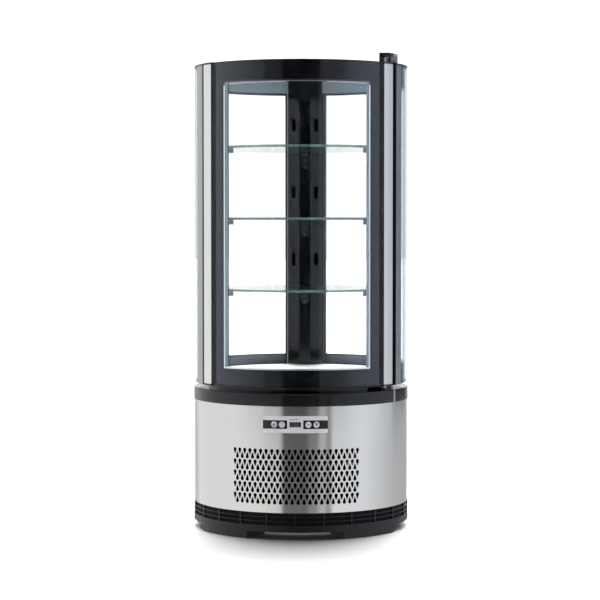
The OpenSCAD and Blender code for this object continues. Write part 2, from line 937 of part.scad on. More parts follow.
module rear_column_cover() {
    color("#141518")
        difference() {
            translate([0, 0, floor_top])
                linear_extrude(ceiling_z - seat - floor_top)
                    column_plan(0);
            translate([0, column_wall, floor_top - 1])
                linear_extrude(ceiling_z - floor_top + 2)
                    polygon([[-column_w / 2 + column_wall, column_back_y + 5],
                             [-column_w / 2 + column_wall, column_y + column_depth],
                             [-column_facet / 2 + 0.6, column_y], [column_facet / 2 - 0.6, column_y],
                             [column_w / 2 - column_wall, column_y + column_depth],
                             [column_w / 2 - column_wall, column_back_y + 5]]);
            for (i = [0 : 2], x = [-1, 1])
                translate([x * (column_w + column_facet) / 4, column_y + column_depth / 2,
                           shelf_low(i) + shelf_pitch / 2])
                    rotate([0, 0, x * atan2(column_depth, (column_w - column_facet) / 2)])
                        block(10, 8, -26, 0);
            bracket_screw_places()
                rod_y(1.6, -1, 4);
        }
}

module rear_column_back() {
    color("#1a1b1d")
        arc(180 - column_a, 180 + column_a, column_in, glass_out + 0.5, cabinet_z, cap_z);
}

// Shelves

bracket_plate_t = 3;
bracket_screw_z = [-19, -31];
clip_a = seal_out_a + 1.5;
function shelf_low(i) = floor_top + shelf_first - shelf_t + i * shelf_pitch;

module bracket_places() {
    for (i = [0 : 2])
        translate([0, column_y, shelf_low(i)])
            children();
}

module bracket_screw_places() {
    bracket_places()
        for (z = bracket_screw_z)
            translate([0, 0, z])
                children();
}

module rear_shelf_brackets() {
    color("#202124")
        bracket_places()
            difference() {
                union() {
                    translate([0, -bracket_plate_t / 2, 0])
                        block(19, bracket_plate_t, -28, -2);
                    rod_y(9.5, -bracket_plate_t, 0, 0, -28);
                    translate([0, -14, 0])
                        block(13, 28, -5, 0);
                }
                for (z = bracket_screw_z)
                    rod_y(1.6, -bracket_plate_t - 1, 1, 0, z);
            }
}

module shelf_clips() {
    color("#54565b")
        for (i = [0 : 2], s = [-1, 1])
            around(s * clip_a, chamber_r, shelf_low(i)) {
                translate([0, 7.5, 0])
                    block(9, 14, -9.5, -2);
                translate([0, 11.5, 0])
                    post(4.5, -9.5, 0);
            }
}

module shelf(i) {
    color("#cfe6e2", 0.5)
        difference() {
            post(shelf_r, shelf_low(i), shelf_low(i) + shelf_t);
            translate([0, 0, shelf_low(i) - 1])
                linear_extrude(shelf_t + 2)
                    column_plan(2.5);
        }
}

module shelf_lower() { shelf(0); }
module shelf_middle() { shelf(1); }
module shelf_upper() { shelf(2); }

// Side glazing

module side_outer() {
    color("#d9eef2", 0.4)
        arc(side_start_a, side_end_a, glass_in, glass_out, cabinet_z + trim_h, cap_z);
}

module side_outer_right() { side_outer(); }
module side_outer_left() { mirror([1, 0, 0]) side_outer(); }

module side_inner_panes() {
    color("#d9eef2", 0.4)
        both_sides()
            arc(side_start_a, side_end_a, unit_in, inner_out, floor_top - 1, pane_top);
}

module side_spacers() {
    spacer_a = 0.9;
    spacer_h = 3.5;
    color("#c9ced2")
        both_sides()
            difference() {
                arc(side_start_a, side_end_a, inner_out + 0.1, glass_in - 0.1, clear_z, clear_top);
                arc(side_start_a + spacer_a, side_end_a - spacer_a, inner_out - 1, glass_in + 1,
                    clear_z + spacer_h, clear_top - spacer_h);
            }
}

// Door

pane_lap_a = 2;
pane_lap = 8;
spacer_rim_a = 0.8;
spacer_rim = 3;
cap_plate_t = 4;
cap_plug_l = 12;
strip_wall = 1.8;

module door_outer_glass() {
    color("#d9eef2", 0.4)
        arc(-glass_a, glass_a, glass_in, glass_out, cabinet_z + trim_h, cabinet_top - 1);
}

module door_inner_glass() {
    color("#d9eef2", 0.4)
        arc(-clear_a - pane_lap_a, clear_a + pane_lap_a, unit_in, inner_out,
            clear_z - pane_lap, clear_top + pane_lap);
}

module door_spacer() {
    color("#d3d7da")
        arc_window(clear_a + spacer_rim_a, clear_a, inner_out + 0.1, glass_in - 0.1,
            clear_z - spacer_rim, clear_top + spacer_rim, clear_z, clear_top);
}

module door_frame() {
    color("#1d1e21") {
        difference() {
            arc(-strip_in_a, strip_in_a, unit_in, glass_in - 0.15, cabinet_z, cabinet_top);
            arc(-clear_a - spacer_rim_a - 0.05, clear_a + spacer_rim_a + 0.05, unit_in - 1, glass_in + 1,
                clear_z - spacer_rim - 0.1, clear_top + spacer_rim + 0.1);
            arc(-clear_a - pane_lap_a - 0.1, clear_a + pane_lap_a + 0.1, unit_in - 1, inner_out + 0.15,
                clear_z - pane_lap - seat, clear_top + pane_lap + seat);
        }
        arc_profile(-strip_in_a, strip_in_a,
            [[glass_in - 1, cabinet_z], [glass_out - 3, cabinet_z], [glass_out - 1, cabinet_z + 0.8],
             [glass_out, cabinet_z + 2.6], [glass_out, cabinet_z + trim_h - 0.1],
             [glass_in - 1, cabinet_z + trim_h - 0.1]]);
    }
}

module door_strips() {
    color("#d4d5d8")
        both_sides()
            difference() {
                arc(strip_in_a + joint_a, door_a, unit_in, strip_out,
                    cabinet_z + cap_plate_t, cabinet_top - cap_plate_t);
                arc(strip_in_a + joint_a + 0.5, door_a - 0.5, unit_in + strip_wall, strip_out - strip_wall,
                    cabinet_z, cabinet_top);
            }
}

module hinge_axis_at(z = 0) {
    translate([hinge_x, hinge_y, z])
        children();
}

module door_end_caps() {
    color("#232428")
        difference() {
            both_sides()
                for (low = [cabinet_z, cabinet_top - cap_plate_t]) {
                    plug_z = low == cabinet_z ? low + cap_plate_t - 0.5 : low + 0.5 - cap_plug_l;
                    arc(strip_in_a + joint_a, door_a, unit_in, strip_out, low, low + cap_plate_t);
                    arc(strip_in_a + joint_a + 0.6, door_a - 0.6, unit_in + strip_wall + seat,
                        strip_out - strip_wall - seat, plug_z, plug_z + cap_plug_l);
                }
            hinge_axis_at()
                post(pin_r + pin_fit, cabinet_z - 1, cabinet_z + cap_plug_l + 1);
            hinge_axis_at()
                post(pin_r + pin_fit, cabinet_top - cap_plug_l - 1, cabinet_top + 1);
        }
}

module door_gasket() {
    color("#3a3b3f")
        arc_window(seal_out_a, seal_in_a, seal_in, unit_in - seat, cabinet_z + 6, cabinet_top - 8,
            sill_top - 6, head_low + 6);
}

// Hinge

bracket_h = 18.5;
arm_t = 4.5;
bracket_w = 20;
anchor_w = 14;
anchor_d = 24;
anchor_a = (hinge_post_a + post_end_a) / 2;
anchor_r = glass_out - 10;
anchor_x = anchor_r * sin(anchor_a);
anchor_y = -anchor_r * cos(anchor_a);
web_d = 7;
low_plate_t = 5;
pin_reach = 11;

module hinge_brackets() {
    color("#1b1c1f") {
        difference() {
            union() {
                translate([0, 0, cabinet_top + bracket_h - arm_t])
                    linear_extrude(arm_t)
                        polygon([[hinge_x - bracket_w / 2, hinge_y - 11],
                                 [hinge_x + bracket_w / 2, hinge_y - 11],
                                 [anchor_x + anchor_w / 2, anchor_y - anchor_d / 2],
                                 [anchor_x + anchor_w / 2, anchor_y + anchor_d / 2],
                                 [anchor_x - anchor_w / 2, anchor_y + anchor_d / 2],
                                 [hinge_x - bracket_w / 2, hinge_y + 9]]);
                translate([anchor_x, anchor_y, 0])
                    block(anchor_w, anchor_d, cabinet_top, cabinet_top + bracket_h);
                translate([hinge_x - bracket_w / 2 + 1.5, hinge_y - 1, 0])
                    block(3, 20, cabinet_top + 1.5, cabinet_top + bracket_h - 1);
                translate([0, 0, cabinet_top + 1.5])
                    linear_extrude(bracket_h - 2.5)
                        polygon([[hinge_x - bracket_w / 2 + 1, hinge_y + 8.5 - web_d],
                                 [anchor_x - anchor_w / 2 + 1, anchor_y + anchor_d / 2 - 0.5 - web_d],
                                 [anchor_x - anchor_w / 2 + 1, anchor_y + anchor_d / 2 - 0.5],
                                 [hinge_x - bracket_w / 2 + 1, hinge_y + 8.5]]);
                hinge_axis_at()
                    post(pin_r + 2.1, cabinet_top + bracket_h - 9, cabinet_top + bracket_h - 1);
            }
            hinge_axis_at()
                post(pin_r + 0.05, cabinet_top, cabinet_top + bracket_h + 1);
        }
        difference() {
            union() {
                hinge_axis_at()
                    post(9, ring_top, ring_top + low_plate_t);
                around(hinge_a, (hinge_r + jamb_back_r + 1) / 2)
                    block(15, hinge_r - jamb_back_r - 1, ring_top, ring_top + low_plate_t);
            }
            hinge_axis_at()
                post(pin_r + 0.05, ring_top - 1, ring_top + low_plate_t + 1);
        }
    }
}

module hinge_pins() {
    color("#b9babd") {
        hinge_axis_at()
            post(pin_r, cabinet_top - pin_reach, cabinet_top + bracket_h);
        hinge_axis_at() {
            post(pin_r, ring_top, cabinet_z + pin_reach);
            post(pin_r + 2, ring_top + low_plate_t, cabinet_z - seat);
        }
    }
}

plinth();
foot_pads();
base_pan();
machine_posts();
steel_wrap();
rear_panel();
case_screws();
compressor();
compressor_grommets();
condenser_coil();
fan_shroud();
condenser_fan_motor();
condenser_fan();
refrigerant_tubes();
drain_pan();
electrics_box();
power_inlet();
control_bezel();
panel_windows();
button_power();
button_light();
button_down();
button_up();
controller_board();
deck_ring();
ring_joint_strip();
deck_tray();
deck_foam();
deck_floor();
evaporator_coil();
evaporator_fan_motor();
evaporator_fan();
sill_ring();
head_ring();
top_cap();
top_foam();
ceiling_liner();
front_post_left();
front_post_right();
light_strips();
rear_column_cover();
rear_column_back();
rear_shelf_brackets();
shelf_clips();
shelf_lower();
shelf_middle();
shelf_upper();
side_outer_left();
side_outer_right();
side_inner_panes();
side_spacers();
door_outer_glass();
door_inner_glass();
door_spacer();
door_frame();
door_strips();
door_end_caps();
door_gasket();
hinge_brackets();
hinge_pins();
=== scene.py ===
"""Looks of the round display fridge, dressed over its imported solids.

Metres, +Z up, the door faces -Y. Angles round the body are in degrees from the door's
centre, positive towards +X, so a point is (r sin a, -r cos a, z).
"""

import math

import bmesh
import bpy
import numpy as np
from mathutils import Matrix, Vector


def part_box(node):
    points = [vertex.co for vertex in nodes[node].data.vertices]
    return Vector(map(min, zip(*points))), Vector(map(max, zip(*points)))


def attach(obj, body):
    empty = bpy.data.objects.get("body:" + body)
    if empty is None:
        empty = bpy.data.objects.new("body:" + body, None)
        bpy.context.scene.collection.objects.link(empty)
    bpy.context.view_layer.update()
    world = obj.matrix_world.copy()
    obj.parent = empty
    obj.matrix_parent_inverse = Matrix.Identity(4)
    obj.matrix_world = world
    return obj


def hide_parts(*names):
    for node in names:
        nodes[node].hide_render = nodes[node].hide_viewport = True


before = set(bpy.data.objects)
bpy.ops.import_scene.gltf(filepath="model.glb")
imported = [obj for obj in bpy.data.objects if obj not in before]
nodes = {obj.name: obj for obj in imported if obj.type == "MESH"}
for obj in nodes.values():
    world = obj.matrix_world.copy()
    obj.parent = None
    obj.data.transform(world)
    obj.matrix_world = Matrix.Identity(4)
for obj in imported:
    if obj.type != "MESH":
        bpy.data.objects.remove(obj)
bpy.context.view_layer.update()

# Sizes shared by several pieces
BODY_R = 0.225
WRAP_R = 0.2234
GLASS_R = 0.222
BEZEL_Z = 0.232
BUTTON_R = 0.006
# How far a button's face or a panel screw stands out from the body or the wrap
PROUD = 0.0003
# Where the buttons lie, in degrees round the bezel
BUTTONS = {"power": -10.9, "light": -6.75, "down": 6.75, "up": 10.9}


# Surfaces


def closed_grid(points):
    """Quads between neighbouring points of a rows by columns grid; each row closes on itself."""
    rows, columns = points.shape[:2]
    index = np.arange(rows * columns).reshape(rows, columns)
    index = np.hstack([index, index[:, :1]])
    quads = np.stack([index[:-1, :-1], index[:-1, 1:], index[1:, 1:], index[1:, :-1]], -1)
    return points.reshape(-1, 3), quads.reshape(-1, 4)


def capped(points):
    """The grid with its first and last rows drawn together to their middles: closed ends."""
    first = np.repeat(points[:1].mean(1, keepdims=True), points.shape[1], 1)
    last = np.repeat(points[-1:].mean(1, keepdims=True), points.shape[1], 1)
    return np.vstack([first, points, last])


def piece(name, grids, material, body, sharp=35):
    """One object made of grids of places, which rides on a body and takes one material. Places
    that meet are joined, so a grid whose last row repeats its first is a ring."""
    places, faces, count = [], [], 0
    for points in grids:
        spots, quads = closed_grid(points)
        places.append(spots)
        faces.append(quads + count)
        count += len(spots)
    mesh = bpy.data.meshes.new(name)
    mesh.from_pydata(np.vstack(places), [], np.vstack(faces))
    shape = bmesh.new()
    shape.from_mesh(mesh)
    bmesh.ops.remove_doubles(shape, verts=shape.verts, dist=1e-7)
    bmesh.ops.dissolve_degenerate(shape, edges=shape.edges, dist=1e-8)
    bmesh.ops.recalc_face_normals(shape, faces=shape.faces)
    shape.to_mesh(mesh)
    shape.free()
    mesh.polygons.foreach_set("use_smooth", np.ones(len(mesh.polygons), bool))
    mesh.set_sharp_from_angle(angle=math.radians(sharp))
    mesh.materials.append(material)
    item = bpy.data.objects.new(name, mesh)
    bpy.context.scene.collection.objects.link(item)
    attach(item, body)
    return item


def polar(radius, angle, height):
    """Places on the body from a radius, an angle in degrees and a height, broadcast together."""
    radius, angle, height = np.broadcast_arrays(radius, np.radians(angle), height)
    return np.stack([radius * np.sin(angle), -radius * np.cos(angle), height], -1)


def upright(outline, heights):
    """A closed plan outline of (x, y) carried straight up through heights, with closed ends."""
    outline = np.asarray(outline, float)
    z = np.asarray(heights, float)
    points = np.empty((len(z), len(outline), 3))
    points[..., :2] = outline[None]
    points[..., 2] = z[:, None]
    return capped(points)


def spun(profile, place, count=16):
    """A profile of (radius, depth) turned about the outward axis of a place on the body."""
    profile = np.asarray(profile, float)
    turn = np.linspace(0, 2 * math.pi, count, endpoint=False)
    u = profile[:, :1] * np.cos(turn)[None]
    v = profile[:, :1] * np.sin(turn)[None]
    return place(u, v, np.broadcast_to(profile[:, 1:], u.shape))


def on_wrap(radius, angle, height):
    """Places for (across, up, out) drawn on a cylinder about the body's axis."""
    def place(u, v, d):
        return polar(radius + d, angle + np.degrees(u / radius), height + v)
    return place


def on_face(radius, angle, height):
    """Places for (across, up, out) drawn on a flat face that looks outwards at an angle."""
    a = math.radians(angle)
    out = np.array([math.sin(a), -math.cos(a), 0.0])
    across = np.array([math.cos(a), math.sin(a), 0.0])
    centre = radius * out + [0, 0, height]
    def place(u, v, d):
        u, v, d = (np.asarray(x, float)[..., None] for x in np.broadcast_arrays(u, v, d))
        return centre + u * across + v * np.array([0, 0, 1.0]) + d * out
    return place


def on_top(x, y, height):
    """Places for (across, up, out) drawn on a level face that looks up."""
    def place(u, v, d):
        u, v, d = np.broadcast_arrays(u, v, d)
        return np.stack([x + u, y + v, height + d], -1)
    return place


def stroke(path, width, place, thick, closed=False):
    """A line of (across, up) points with a width. It stands out by a thickness from the face that
    it is drawn on, and reaches as far into it."""
    path = np.asarray(path, float)
    if closed:
        along = np.roll(path, -1, 0) - np.roll(path, 1, 0)
    else:
        along = np.gradient(path, axis=0)
    along /= np.linalg.norm(along, axis=1, keepdims=True)
    side = np.stack([-along[:, 1], along[:, 0]], -1) * width / 2
    flat = np.stack([path - side, path + side, path + side, path - side], 1)
    depth = np.broadcast_to(np.array([thick, thick, -thick, -thick]), flat.shape[:2])
    points = place(flat[..., 0], flat[..., 1], depth)
    return np.vstack([points, points[:1]]) if closed else capped(points)


def patch(outline, place, thick):
    """A filled outline of (across, up) points that stands out by a thickness from the face that it
    is drawn on, and reaches as far into it."""
    outline = np.asarray(outline, float)
    middle = np.repeat(outline.mean(0)[None], len(outline), 0)
    flat = np.stack([middle, outline, outline, middle])
    depth = np.array([thick, thick, -thick, -thick])[:, None] + np.zeros((1, len(outline)))
    return place(flat[..., 0], flat[..., 1], depth)


def circle(radius, count, start=0.0, end=360.0, centre=(0, 0)):
    """Points of (across, up) round a circle or an arc, from one angle to another."""
    whole = end - start >= 360
    turn = np.radians(np.linspace(start, end, count, endpoint=not whole))
    return np.stack([centre[0] + radius * np.cos(turn), centre[1] + radius * np.sin(turn)], -1)


# Finishes


class Nodes:
    """Short calls that add nodes to a tree and join them."""

    def __init__(self, tree):
        self.tree = tree

    def feed(self, socket, value):
        """Joins another node's output to a socket, or sets the socket to a value."""
        if isinstance(value, bpy.types.NodeSocket):
            self.tree.links.new(value, socket)
        else:
            socket.default_value = value

    def node(self, kind, values=(), **settings):
        item = self.tree.nodes.new(kind)
        for key, value in settings.items():
            setattr(item, key, value)
        for key, value in dict(values).items():
            self.feed(item.inputs[key], value)
        return item

    def maths(self, operation, a, b=0.0, c=0.0):
        return self.node("ShaderNodeMath", {0: a, 1: b, 2: c}, operation=operation).outputs[0]

    def separate(self, vector):
        return self.node("ShaderNodeSeparateXYZ", {0: vector}).outputs

    def dot(self, first, second):
        item = self.node("ShaderNodeVectorMath", {0: first, 1: second}, operation="DOT_PRODUCT")
        return item.outputs["Value"]

    def between(self, factor, low, high, start=0.3, end=0.7):
        """A number that goes from low to high as the factor goes from start to end."""
        values = {"Value": factor, "From Min": start, "From Max": end,
                  "To Min": low, "To Max": high}
        return self.node("ShaderNodeMapRange", values).outputs[0]

    def mixed(self, factor, first, second):
        """The first colour where the factor is 0, and the second where it is 1."""
        item = self.node("ShaderNodeMix", data_type="RGBA")
        for key, value in ((0, factor), (6, first), (7, second)):
            self.feed(item.inputs[key], (*value, 1) if isinstance(value, tuple) else value)
        return item.outputs[2]


class Finish(Nodes):
    """A material: one Principled shader, and patterns in object coordinates that drive it."""

    def __init__(self, name, colour, roughness, metallic=0.0, **sockets):
        self.material = bpy.data.materials.new(name)
        self.material.use_nodes = True
        super().__init__(self.material.node_tree)
        self.shader = self.tree.nodes["Principled BSDF"]
        self.output = self.tree.nodes["Material Output"]
        self.colour = colour
        self.set(Base_Color=(*colour, 1), Roughness=roughness, Metallic=metallic, **sockets)
        self.place = self.node("ShaderNodeTexCoord").outputs["Object"]
        self.normal = self.node("ShaderNodeTexCoord").outputs["Normal"]

    def set(self, **sockets):
        """Puts a value or another node's output on sockets of the shader; _ stands for a space."""
        for key, value in sockets.items():
            self.feed(self.shader.inputs[key.replace("_", " ")], value)

    def axes(self):
        return self.separate(self.place)

    def bearing(self):
        """The angle round the body from the door's centre, in radians."""
        x, y, _ = self.axes()
        return self.maths("ARCTAN2", x, self.maths("MULTIPLY", y, -1.0))

    def radius(self):
        x, y, _ = self.axes()
        squares = self.maths("ADD", self.maths("MULTIPLY", x, x), self.maths("MULTIPLY", y, y))
        return self.maths("SQRT", squares)

    def round_place(self):
        """(length round the body, height, radius) in metres in place of x, y and z."""
        arc = self.maths("MULTIPLY", self.bearing(), BODY_R)
        values = {0: arc, 1: self.axes()[2], 2: self.radius()}
        return self.node("ShaderNodeCombineXYZ", values).outputs[0]

    def outward(self):
        """How squarely a face looks out from the body's axis: 1 outwards, 0 sideways or level, -1
        inwards."""
        x, y, _ = self.axes()
        out = self.node("ShaderNodeCombineXYZ", {0: x, 1: y, 2: 0.0}).outputs[0]
        out = self.node("ShaderNodeVectorMath", {0: out}, operation="NORMALIZE").outputs[0]
        return self.dot(self.normal, out)

    def noise(self, scale, detail, place=None):
        """Soft noise, its scale as periods in a metre: one number, or one for each axis."""
        scale = (scale,) * 3 if isinstance(scale, (int, float)) else scale
        values = {0: place or self.place, 1: scale}
        vector = self.node("ShaderNodeVectorMath", values, operation="MULTIPLY").outputs[0]
        values = {"Vector": vector, "Scale": 1.0, "Detail": detail, "Roughness": 0.55}
        return self.node("ShaderNodeTexNoise", values).outputs["Fac"]

    def cells(self, scale, output="Distance"):
        """Cells, their scale as periods in a metre: distance to a cell's middle, or its colour."""
        values = {"Vector": self.place, "Scale": scale}
        return self.node("ShaderNodeTexVoronoi", values).outputs[output]

    def blend(self, factor, first, second, start=0.3, end=0.7):
        """A colour that goes from the first to the second as the factor goes from start to end."""
        return self.mixed(self.between(factor, 0.0, 1.0, start, end), first, second)

    def bump(self, height, distance, strength):
        values = {"Height": height, "Distance": distance, "Strength": strength}
        return self.node("ShaderNodeBump", values).outputs[0]

    def tinted(self, factor, spread):
        """The base colour, darker and paler by a share as a pattern changes."""
        dark = tuple(c * (1 - spread) for c in self.colour)
        pale = tuple(min(1.0, c * (1 + spread)) for c in self.colour)
        return self.blend(factor, dark, pale)

    def orange_peel(self):
        """The faint skin of a gloss surface."""
        return self.bump(self.noise(330, 1), 0.000008, 0.2)

    def spark_grain(self, depth, grain=1500, strength=0.5):
        """The fine grain of a spark-eroded mould."""
        return self.bump(self.cells(grain), depth, strength)


def gloss(name, colour, roughness, wipe=0.05, **sockets):
    """Gloss lacquer or moulding: a faint orange-peel skin and soft wiping marks."""
    f = Finish(name, colour, roughness, **sockets)
    f.set(Roughness=f.between(f.noise((7, 7, 3), 4), roughness, roughness + wipe),
          Base_Color=f.tinted(f.noise(11, 3), 0.18), Normal=f.orange_peel())
    return f.material


def moulded(name, colour, roughness, grain=1500, depth=0.00006, spread=0.14, metal=0.0):
    """Moulded plastic: a fine spark-eroded grain, and slow changes in tone and sheen."""
    f = Finish(name, colour, roughness, metal)
    coarse = f.noise(16, 4)
    f.set(Roughness=f.between(coarse, roughness - 0.05, roughness + 0.07),
          Base_Color=f.tinted(f.noise(26, 4), spread), Normal=f.spark_grain(depth, grain))
    return f.material


def recessed(name, colour, skin_r):
    """Moulded plinth: spark-eroded skin outside a radius, and behind it, in the slots, painted
    shade:
    near black and rougher.
    """
    f = Finish(name, colour, 0.35, Specular_IOR_Level=0.3)
    skin = f.maths("GREATER_THAN", f.radius(), skin_r)
    coarse = f.noise(16, 4)
    # Painted shade: inside the radius the colour falls to 0.12 of itself
    shade = tuple(c * 0.12 for c in colour)
    matt = f.between(skin, 0.5, 0.0, 0.0, 1.0)
    f.set(Base_Color=f.mixed(skin, shade, f.tinted(coarse, 0.14)),
          Roughness=f.maths("ADD", f.between(coarse, 0.3, 0.42), matt),
          Normal=f.spark_grain(0.00005))
    return f.material


def rubber(name, colour):
    """Rubber: matt, slightly dusty, with a fine pitted skin."""
    f = Finish(name, colour, 0.72)
    dust = f.noise(55, 5)
    f.set(Base_Color=f.blend(dust, colour, tuple(c * 1.9 for c in colour), 0.5, 0.8),
          Roughness=f.between(dust, 0.62, 0.84),
          Normal=f.bump(f.noise(1300, 2), 0.00008, 0.4))
    return f.material


def zinc(name, colour):
    """Zinc coated sheet: fine flat crystal spangles that differ a little in tone and shine."""
    f = Finish(name, colour, 0.42, 0.9)
    spangle = f.node("ShaderNodeSeparateColor", {0: f.cells(240, "Color")}).outputs[0]
    f.set(Base_Color=f.tinted(spangle, 0.05), Roughness=f.between(spangle, 0.38, 0.46, 0, 1),
          Normal=f.bump(f.noise(700, 2), 0.00003, 0.3))
    return f.material


def brushed(name, colour):
    """Stainless sheet brushed round the wrap: long fine lines along it, each of its own depth."""
    f = Finish(name, colour, 0.2, 1.0, Anisotropic=0.5, Anisotropic_Rotation=0.25)
    place = f.round_place()
    hair = f.noise((9, 1900, 1), 3, place)
    line = f.noise((3, 420, 1), 3, place)
    cloud = f.noise((5, 9, 1), 3, place)
    mixed = f.maths("ADD", f.maths("MULTIPLY", hair, 0.6), f.maths("MULTIPLY", line, 0.4))
    f.set(Base_Color=f.tinted(mixed, 0.035),
          Roughness=f.maths("ADD", f.between(mixed, 0.1, 0.16), f.between(cloud, -0.01, 0.02)),
          Normal=f.bump(mixed, 0.000005, 0.25),
          Tangent=f.node("ShaderNodeTangent", direction_type="RADIAL", axis="Z").outputs[0])
    return f.material


def anodised(name, colour):
    """Drawn and anodised profile: fine lines along its length, which is upright."""
    f = Finish(name, colour, 0.24, 1.0)
    line = f.noise((2600, 2600, 5), 3)
    f.set(Base_Color=f.tinted(line, 0.05), Roughness=f.between(line, 0.19, 0.32),
          Normal=f.bump(line, 0.000012, 0.3))
    return f.material


def spacer(name, colour, top):
    """Spacer bar between two panes: a pale drawn face that looks outwards, up to a height, a blue
    grey edge beside the opening, and dark sealant over the rest."""
    f = Finish(name, colour, 0.4)
    line = f.noise((2600, 2600, 5), 3)
    facing = f.outward()
    below = f.maths("LESS_THAN", f.axes()[2], top)
    bare = f.maths("MULTIPLY", below, f.maths("GREATER_THAN", facing, 0.7))
    edge = f.maths("LESS_THAN", f.maths("ABSOLUTE", facing), 0.5)
    rest = f.mixed(edge, (0.02, 0.022, 0.027), (0.24, 0.3, 0.35))
    f.set(Base_Color=f.mixed(bare, rest, f.tinted(line, 0.05)), Metallic=bare,
          Roughness=f.between(line, 0.35, 0.48), Normal=f.bump(line, 0.000012, 0.3))
    return f.material


def inner_reflection_ring(name, colour, painted_reflection):
    """Ring with a gloss skin outside, and a satin gloss on the faces that look inwards, whose pale
    blue grey colour is a painted reflection.
    """
    f = Finish(name, colour, 0.04, Specular_IOR_Level=0.36)
    inner = f.maths("LESS_THAN", f.outward(), -0.5)
    soft = f.noise((7, 7, 3), 4)
    # The faces that look inwards take the painted reflection colour in place of the gloss black
    f.set(Base_Color=f.mixed(inner, f.tinted(soft, 0.18), painted_reflection),
          Roughness=f.maths("ADD", f.between(soft, 0.04, 0.09), f.maths("MULTIPLY", inner, 0.3)),
          Normal=f.orange_peel())
    return f.material


def clad(name, colour, core, edge):
    """A post: satin grey skin on the face that looks outwards, and black moulding on its other
    sides, whose black in the gap beside the door is painted shade, and painted shade on its lip
    beside the door, up to an angle from the door's centre."""
    f = Finish(name, colour, 0.3, Specular_IOR_Level=0.4)
    grain = f.noise((700, 700, 12), 3)
    # Painted shade: black on the lip beside the door, up to the edge angle
    past = f.maths("GREATER_THAN", f.maths("ABSOLUTE", f.bearing()), math.radians(edge))
    skin = f.maths("MULTIPLY", f.between(f.outward(), 0.0, 1.0, 0.55, 0.6), past)
    f.set(Base_Color=f.mixed(skin, core, f.tinted(grain, 0.06)),
          Metallic=f.maths("MULTIPLY", skin, 0.9),
          Roughness=f.between(grain, 0.24, 0.36),
          Normal=f.bump(grain, 0.00001, 0.3))
    return f.material


def two_part(name, front, rear, split):
    """Bracket of two mouldings that meet at an angle round the body: the front, then the rear."""
    f = Finish(name, front, 0.36, Specular_IOR_Level=0.4)
    behind = f.maths("GREATER_THAN", f.bearing(), math.radians(split))
    f.set(Base_Color=f.mixed(behind, f.tinted(f.noise(40, 3), 0.15), rear),
          Roughness=f.between(f.noise(16, 4), 0.3, 0.42),
          Normal=f.spark_grain(0.00004, strength=0.4))
    return f.material


def plated(name, colour, roughness):
    """Plated steel of a screw or pin: turned rings and small scuffs."""
    f = Finish(name, colour, roughness, 1.0)
    scuff = f.noise(900, 4)
    f.set(Base_Color=f.tinted(scuff, 0.1),
          Roughness=f.between(scuff, roughness - 0.07, roughness + 0.12),
          Normal=f.bump(f.noise((400, 400, 2600), 2), 0.00001, 0.3))
    return f.material


def foam(name, colour):
    """Cut insulating foam: open cells, and slow changes in tone."""
    f = Finish(name, colour, 0.9)
    f.set(Base_Color=f.tinted(f.noise(40, 4), 0.12), Normal=f.bump(f.cells(420), 0.0006, 0.8))
    return f.material


def fins(name, colour):
    """Thin fins of a coil: fine level ripples, with dust in patches."""
    f = Finish(name, colour, 0.4, 0.85)
    dust = f.noise(60, 5)
    dusty = tuple(c * 0.6 + 0.05 for c in colour)
    f.set(Base_Color=f.blend(dust, colour, dusty, 0.45, 0.75), Roughness=f.between(dust, 0.3, 0.6),
          Normal=f.bump(f.noise((40, 40, 900), 2), 0.00008, 0.4))
    return f.material


def copper(name, colour, dark):
    """Drawn copper tube, a little darkened by heat in places."""
    f = Finish(name, colour, 0.3, 1.0)
    heat = f.noise(24, 4)
    f.set(Base_Color=f.blend(heat, colour, dark, 0.5, 0.75), Roughness=f.between(heat, 0.22, 0.45),
          Normal=f.bump(f.noise(1400, 2), 0.00002, 0.3))
    return f.material


def board(name, mask, dark, track, pad):
    """Circuit board: green mask in two tones over a net of tracks, with tinned pads."""
    f = Finish(name, mask, 0.3)
    values = {"Vector": f.place, "Scale": 130.0, "Mortar Size": 0.03,
              "Color1": (*mask, 1), "Color2": (*dark, 1), "Mortar": (*track, 1)}
    net = f.node("ShaderNodeTexBrick", values).outputs["Color"]
    spot = f.cells(330)
    f.set(Base_Color=f.blend(spot, pad, net, 0.1, 0.14),
          Roughness=f.between(spot, 0.22, 0.38, 0.1, 0.3))
    return f.material


